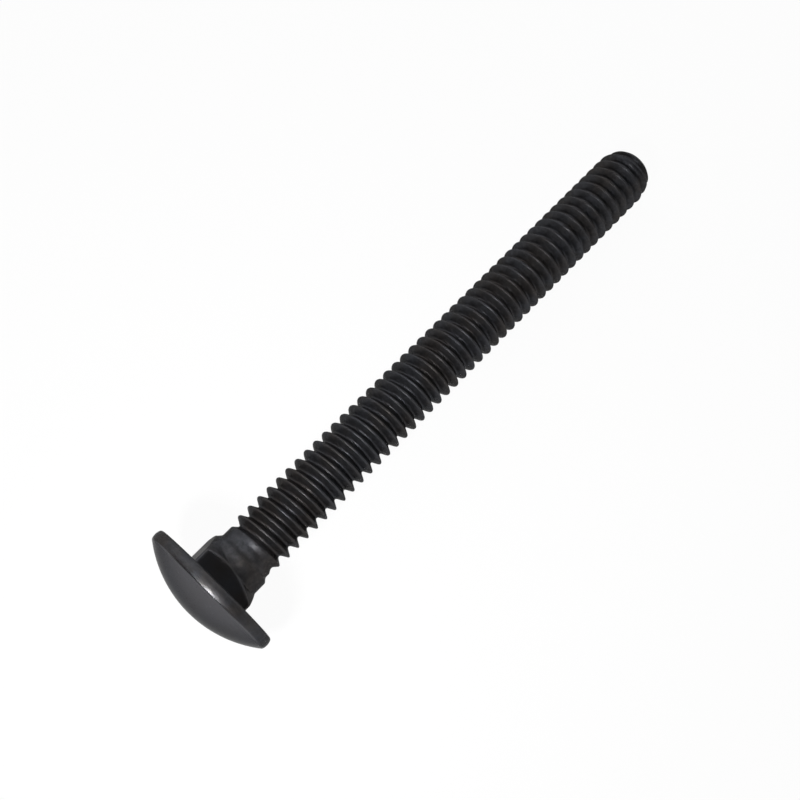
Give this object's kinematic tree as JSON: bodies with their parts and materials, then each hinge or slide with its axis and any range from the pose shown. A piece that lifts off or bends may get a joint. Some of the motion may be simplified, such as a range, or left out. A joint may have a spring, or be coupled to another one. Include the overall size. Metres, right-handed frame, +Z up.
{
  "type": "carriage bolt",
  "caption": "Carriage bolt with a smooth domed round head, a short square neck and a long right-hand rolled thread, in blackened steel, lying on its side.",
  "frame": {"origin": "centre of the bearing face under the head, on the bolt's axis", "axes": "+Z up; the bolt lies along +X from head to point, its axis dipping 3.89 degrees below +X as it rests on the head's rim and the thread's end"},
  "size_m": [0.0671, 0.0146, 0.0146],
  "materials": {
    "black_steel": "black oxide, satin, slightly lighter on the smooth head"
  },
  "bodies": {
    "root": {"carriage_bolt": "black_steel"}
  },
  "joints": []
}
